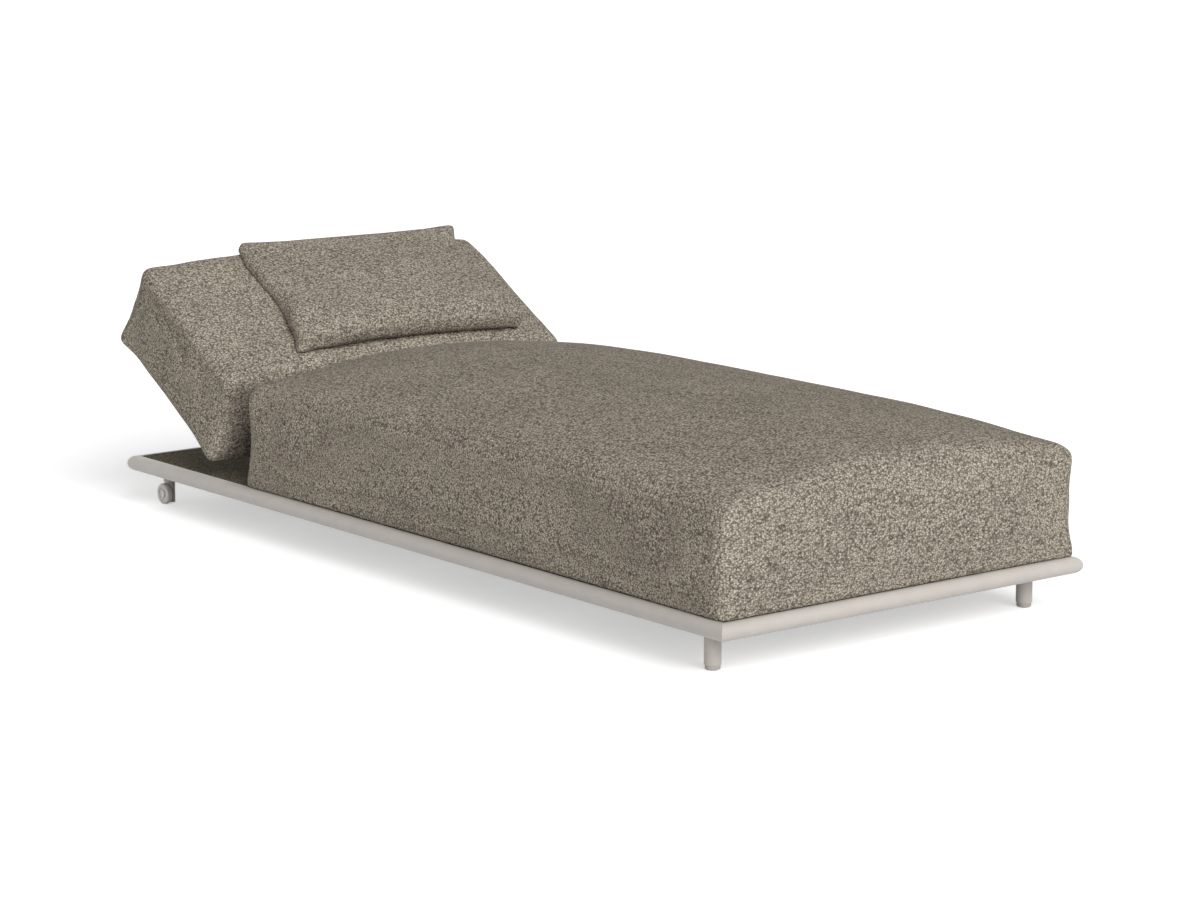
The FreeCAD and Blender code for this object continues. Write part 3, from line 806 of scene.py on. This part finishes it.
points = draw_ears(points_of(seat.data), SEAT_EARS)
by_posts = np.abs(points[:, 0]) < post_reach
points[by_posts, 1] = np.minimum(points[by_posts, 1], seat_high[1])
height = np.maximum(points[:, 2] - seat_low[2], 0)
points[:, 2] = seat_low[2] + np.where(height < SEAT_HEM, SEAT_HEM * (height / SEAT_HEM) ** 3, height)
set_points(seat.data, points)
finish_cushion(seat, "seat_cushion", "platform", still)

# %% [markdown]
# ### Back cushion
# The back is a thick pad with a pocket for its tube frame. The pocket is closed from outside by the
# cover, so a block fills it before the remesh. Beside the hinge posts its foot edge comes forward in a
# toe; between them it stays behind them.

# %% Back cushion
BACK_SQUARE = 0.010
BACK_TIGHT = (0.02, 0.14)
BACK_SOFTENING = 20
BACK_PUFF = {"left": 0.014, "right": 0.004, "top": 0.007, "head": 0.006}
BACK_CORNER_PUFF = 0.4
BACK_CAP = 0.003
BACK_SHIFT = 0.003
BACK_TOE = 0.024
BACK_TOE_DROP = 0.016
TOE_FADE = 0.035
TOE_LENGTH = (0.02, 0.12)
TOE_HEIGHT = (0.03, 0.16)
TOE_DROP_END = (0.37, 0.45)
BACK_EARS = {
    "left_foot_low": ((-0.016, -0.008, 0.001), 0.12),
    "left_head_low": ((-0.008, 0.001, -0.006), 0.09),
    "right_head_top": ((-0.014, -0.004, -0.005), 0.16),
}
POCKET_NODES = ("back_lower_tube", "back_top_tube", "back_tube_plugs", "back_straps")
POCKET_MARGIN = 0.008
POCKET_SKIN = 0.0005

back = copy_of("back_cushion", "back_pad", lay_flat)
back_low, back_high = flat_box("back_cushion", lay_flat)
pocket_boxes = [flat_box(node, lay_flat) for node in POCKET_NODES]
pocket_low = np.min([low for low, _ in pocket_boxes], axis=0) - POCKET_MARGIN
pocket_high = np.max([high for _, high in pocket_boxes], axis=0) + POCKET_MARGIN
pocket_low[1] = back_low[1] + POCKET_SKIN
add_block(back, pocket_low, pocket_high)
even_squares(back, BACK_SQUARE)
back_free = away_from_corners(points_of(back.data), *BACK_TIGHT)
soften(back, back_free, BACK_SOFTENING)
puff(back, swell(back, BACK_PUFF) * (BACK_CORNER_PUFF + (1 - BACK_CORNER_PUFF) * back_free))
fill(back, BACK_CAP)

points = draw_ears(points_of(back.data), BACK_EARS)
points[:, 0] -= BACK_SHIFT
aside = np.abs(points[:, 0])
toe = ramp_up(aside, post_reach, post_reach + TOE_FADE)
toe *= 1 - ramp_up(points[:, 1] - back_low[1], *TOE_LENGTH)
toe *= 1 - ramp_up(points[:, 2] - back_low[2], *TOE_HEIGHT)
points[:, 1] -= BACK_TOE * toe
points[:, 2] -= BACK_TOE_DROP * toe * (1 - ramp_up(aside, *TOE_DROP_END))
by_posts = aside < post_reach
points[by_posts, 1] = np.maximum(points[by_posts, 1], back_low[1])
points[:, 2] = np.maximum(points[:, 2], back_low[2])
set_points(back.data, points)
finish_cushion(back, "back_cushion", "back", raise_back)

# %% [markdown]
# ### Head pillow
# The pillow is soft and loosely filled. Its foot edge is a thick roll, its corners stay out as ears,
# and its rim lifts off the back a little, except at the head, which gives the dark line under it.

# %% Head pillow
PILLOW_SQUARE = 0.005
PILLOW_TIGHT = (0.015, 0.08)
PILLOW_SOFTENING = 24
PILLOW_PUFF = {"top": 0.001, "left": 0.014, "foot": 0.019, "head": 0.004}
PILLOW_ROLL = 0.018
ROLL_WIDTH = (0.03, 0.18)
ROLL_EDGE = (0.03, 0.08)
ROLL_SOFTENING = 24
PILLOW_CAP = 0.006
PILLOW_TOE = 0.012
PILLOW_TOE_FADE = (0.02, 0.12)
PILLOW_UNDERCUT = 0.010
PILLOW_RIM = 0.045
PILLOW_EARS = {
    "left_foot_low": ((-0.046, -0.016, -0.003), 0.15),
    "left_head_top": ((0.010, 0.004, 0.002), 0.09),
    "right_foot_low": ((-0.012, -0.016, 0.004), 0.16),
    "right_head_top": ((0.032, 0.005, 0.004), 0.10),
}

pillow = copy_of("head_pillow", "neck_pillow", lay_flat)
pillow_low, pillow_high = flat_box("head_pillow", lay_flat)
even_squares(pillow, PILLOW_SQUARE)
pillow_free = away_from_corners(points_of(pillow.data), *PILLOW_TIGHT)
soften(pillow, pillow_free, PILLOW_SOFTENING)
roll = 1 - ramp_up(points_of(pillow.data)[:, 1] - pillow_low[1], *ROLL_WIDTH)
rolled_puff = dict(PILLOW_PUFF, top=PILLOW_PUFF["top"] + PILLOW_ROLL * roll)
puff(pillow, pillow_free * swell(pillow, rolled_puff))
roll_edge = 1 - ramp_up(points_of(pillow.data)[:, 1] - pillow_low[1], *ROLL_EDGE)
soften(pillow, pillow_free * roll_edge, ROLL_SOFTENING)
fill(pillow, PILLOW_CAP)

points = points_of(pillow.data)
points[:, 1] -= PILLOW_TOE * (1 - ramp_up(points[:, 1] - pillow_low[1], *PILLOW_TOE_FADE))
from_side = np.minimum(points[:, 0] - pillow_low[0], pillow_high[0] - points[:, 0])
from_rim = np.minimum(from_side, points[:, 1] - pillow_low[1])
near_rim = np.clip(1 - from_rim / PILLOW_RIM, 0, 1) ** 2
underneath = np.maximum(-normals_of(pillow.data)[:, 2], 0)
points[:, 2] += PILLOW_UNDERCUT * near_rim * underneath
set_points(pillow.data, draw_ears(points, PILLOW_EARS))
finish_cushion(pillow, "head_pillow", "pillow", raise_back)

# %% [markdown]
# ## The seams
# No seam runs along the cushions' top edges, so each cover closes low down, with one row of stitches
# all round. The row's path is found by looking inwards at the cushion from all round, at one height.

# %% Seam paths
SEAM_RAYS = 1440
RAY_START = 2.0


def seam_path(piece, node, turn_back, height):
    """Points on a cushion's skin and their normals, all round it, at one height above its underside."""
    skin = BVHTree.FromObject(piece, bpy.context.evaluated_depsgraph_get())
    low, high = flat_box(node, turn_back.inverted())
    middle = Vector((low + high) / 2)
    middle.z = low[2] + height
    path = []
    for number in range(SEAM_RAYS):
        angle = 2 * math.pi * number / SEAM_RAYS
        out = Vector((math.cos(angle), math.sin(angle), 0))
        place, normal, _, _ = skin.ray_cast(turn_back @ (middle + RAY_START * out), turn_back.to_3x3() @ -out)
        if place is not None:
            path.append((place, normal))
    return path


def path_object(name, runs, closed):
    """A mesh of edges only, for a tree to follow."""
    points = []
    edges = []
    for run in runs:
        first = len(points)
        points += run
        last = len(run) if closed else len(run) - 1
        edges += [(first + step, first + (step + 1) % len(run)) for step in range(last)]
    mesh = bpy.data.meshes.new(name)
    mesh.from_pydata(points, edges, [])
    path = bpy.data.objects.new(name, mesh)
    scene.collection.objects.link(path)
    return path


# %% [markdown]
# Hundreds of stitches by hand would be tedious, and a bump map would vanish at the outline. A Geometry
# Nodes tree lays one small bead of thread after another along a path instead. Its sizes are named
# inputs, so the same tree makes the coil of a zip further on.

# %% Bead tree
BEAD_SEGMENTS = 6
BEAD_RINGS = 4


def bead_row(name, sizes, material):
    """A tree that lays rounded beads of thread along a path, one for each pitch."""
    tree = bpy.data.node_groups.new(name, "GeometryNodeTree")
    tree.is_modifier = True
    tree.interface.new_socket("Path", in_out="INPUT", socket_type="NodeSocketGeometry")
    for label, size in sizes.items():
        socket = tree.interface.new_socket(label, in_out="INPUT", socket_type="NodeSocketFloat")
        socket.default_value = size
    tree.interface.new_socket("Row", in_out="OUTPUT", socket_type="NodeSocketGeometry")
    given = tree.nodes.new("NodeGroupInput")
    result = tree.nodes.new("NodeGroupOutput")
    links = tree.links
    curve = place_node(tree, "GeometryNodeMeshToCurve")
    links.new(given.outputs["Path"], curve.inputs["Mesh"])
    places = place_node(tree, "GeometryNodeCurveToPoints", mode="LENGTH")
    links.new(curve.outputs["Curve"], places.inputs["Curve"])
    links.new(given.outputs["Pitch"], places.inputs["Length"])
    bead = place_node(tree, "GeometryNodeMeshUVSphere")
    bead.inputs["Segments"].default_value = BEAD_SEGMENTS
    bead.inputs["Rings"].default_value = BEAD_RINGS
    bead.inputs["Radius"].default_value = 0.5
    shape = place_node(tree, "ShaderNodeCombineXYZ")
    for axis, label in (("X", "Thread"), ("Y", "Thread"), ("Z", "Stitch")):
        links.new(given.outputs[label], shape.inputs[axis])
    row = place_node(tree, "GeometryNodeInstanceOnPoints")
    links.new(places.outputs["Points"], row.inputs["Points"])
    links.new(bead.outputs["Mesh"], row.inputs["Instance"])
    links.new(places.outputs["Rotation"], row.inputs["Rotation"])
    links.new(shape.outputs["Vector"], row.inputs["Scale"])
    plain = place_node(tree, "GeometryNodeRealizeInstances")
    links.new(row.outputs["Instances"], plain.inputs["Geometry"])
    painted = place_node(tree, "GeometryNodeSetMaterial")
    painted.inputs["Material"].default_value = material
    links.new(plain.outputs["Geometry"], painted.inputs["Geometry"])
    links.new(painted.outputs["Geometry"], result.inputs["Row"])
    return tree


def add_piece(name, mesh, body):
    """Makes an object of a mesh that rides on a body and takes its finish from a slot."""
    piece = bpy.data.objects.new(name, mesh)
    scene.collection.objects.link(piece)
    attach(piece, body)
    print(name, "has", len(mesh.polygons), "faces")
    return piece


def lay_row(path, tree, sizes, name, body):
    """Runs a tree on a path and keeps the result as a plain mesh that rides on a body."""
    rows = path.modifiers.new("row", "NODES")
    rows.node_group = tree
    for item in tree.interface.items_tree:
        if item.name in sizes:
            rows[item.identifier] = sizes[item.name]
    mesh = bpy.data.meshes.new_from_object(path.evaluated_get(bpy.context.evaluated_depsgraph_get()))
    bpy.data.objects.remove(path)
    for face in mesh.polygons:
        face.use_smooth = True
    add_piece(name, mesh, body)


# %% [markdown]
# The thread is a spun polyester between the dark and the pale tone of the weave, uneven along its
# length.

# %% Stitches
STITCH = {"Pitch": 0.006, "Stitch": 0.0044, "Thread": 0.0011}
STITCH_RISE = 0.25
SPIN_SCALE = 700
SPIN_DEPTH = 0.0003
SEAMS = {
    # the cushion, the node it stands for, its body, its turn, and the seam's height above its underside
    "seat_stitches": (seat, "seat_cushion", "platform", still, 0.024),
    "back_stitches": (back, "back_cushion", "back", raise_back, 0.030),
    "pillow_stitches": (pillow, "head_pillow", "pillow", raise_back, 0.017),
}


def thread_material():
    material, tree, shader = new_material("seam_thread")
    spun = noise(tree, object_coordinates(tree), SPIN_SCALE)
    tree.links.new(mix_colour(tree, spun, DARK_THREAD, PALE_THREAD), shader.inputs["Base Color"])
    tree.links.new(bump(tree, spun, SPIN_DEPTH, 0.5), shader.inputs["Normal"])
    shader.inputs["Roughness"].default_value = 0.7
    return material


stitch_row = bead_row("stitch_row", STITCH, thread_material())
for seam_name, (piece, node, body, turn_back, height) in SEAMS.items():
    seam = seam_path(piece, node, turn_back, height)
    run = [place + normal * STITCH["Thread"] * STITCH_RISE for place, normal in seam]
    lay_row(path_object(seam_name + "_path", [run], True), stitch_row, STITCH, seam_name, body)

# %% [markdown]
# ### Zip of the back cover
# A cover comes off for washing, so the back's head end has a coil zip. It is out of the photograph's
# sight, and its place is a guess. The coil is two rows of beads from the same kind of tree as the
# stitches, on a flat woven tape, dyed to go with the cover.

# %% Zip line
ZIP_HEIGHT = 0.075
ZIP_REACH = 0.30
ZIP_DEPTH = 0.04
ZIP_RAY_STEP = 3

zip_line = [
    (place, normal)
    for place, normal in seam_path(back, "back_cushion", raise_back, ZIP_HEIGHT)[::ZIP_RAY_STEP]
    if abs(place.x) < ZIP_REACH and (lay_flat @ place).y > back_high[1] - ZIP_DEPTH
]
zip_line.sort(key=lambda pair: pair[0].x)
along_zip = Vector((1, 0, 0))
across_zip = [normal.cross(along_zip).normalized() for _, normal in zip_line]
print("zip of", round(zip_line[-1][0].x - zip_line[0][0].x, 2), "m")

# %% Zip coil
COIL = {"Pitch": 0.0022, "Stitch": 0.0017, "Thread": 0.0026}
COIL_LIFT = 0.0016
COIL_SPREAD = 0.45

zip_cloth = coated("zip_cloth", (112, 105, 95), 0.75, 0.0003)
coil_row = bead_row("coil_row", COIL, zip_cloth)
coil_runs = []
for side in (-1, 1):
    spread = side * COIL["Thread"] * COIL_SPREAD
    pairs = zip(zip_line, across_zip)
    coil_runs.append([place + normal * COIL_LIFT + across * spread for (place, normal), across in pairs])
lay_row(path_object("zip_path", coil_runs, False), coil_row, COIL, "back_zip_coil", "back")

# %% Zip tape
TAPE_WIDTH = 0.018
TAPE_THICKNESS = 0.0008


def shell_mesh(name, shell, material):
    """Ends a bmesh as a mesh with a finish."""
    mesh = bpy.data.meshes.new(name)
    shell.to_mesh(mesh)
    shell.free()
    mesh.materials.append(material)
    return mesh


tape_shell = bmesh.new()
tape_rows = []
for (place, normal), across in zip(zip_line, across_zip):
    lifted = place + normal * TAPE_THICKNESS
    tape_rows.append([tape_shell.verts.new(lifted + side * across * TAPE_WIDTH / 2) for side in (-1, 0, 1)])
for first, second in zip(tape_rows, tape_rows[1:]):
    for side in (0, 1):
        tape_shell.faces.new((first[side], first[side + 1], second[side + 1], second[side]))
tape_mesh = shell_mesh("back_zip_tape", tape_shell, zip_cloth)
tape = add_piece("back_zip_tape", tape_mesh, "back")
thicken = tape.modifiers.new("thickness", "SOLIDIFY")
thicken.thickness = TAPE_THICKNESS

# %% Zip slider
SLIDER_STEP = -12
SLIDER_BLOCKS = (
    # size and middle of the slider's body, and of its pull
    ((0.011, 0.008, 0.0040), (0.0, 0.0, 0.0028)),
    ((0.020, 0.005, 0.0014), (-0.012, 0.0, 0.0052)),
)
SLIDER_ROUNDING = 0.0006

slider_place, slider_normal = zip_line[SLIDER_STEP]
slider_frame = Matrix((along_zip, across_zip[SLIDER_STEP], slider_normal)).transposed().to_4x4()
slider_frame.translation = slider_place
slider_shell = bmesh.new()
for size, middle in SLIDER_BLOCKS:
    block_place = slider_frame @ Matrix.Translation(middle) @ Matrix.Diagonal((*size, 1.0))
    bmesh.ops.create_cube(slider_shell, size=1.0, matrix=block_place)
bmesh.ops.bevel(
    slider_shell,
    geom=slider_shell.edges[:],
    offset=SLIDER_ROUNDING,
    segments=2,
    affect="EDGES",
    profile=0.5,
)
slider_mesh = shell_mesh("back_zip_slider", slider_shell, finishes["fastener_steel"])
add_piece("back_zip_slider", slider_mesh, "back")
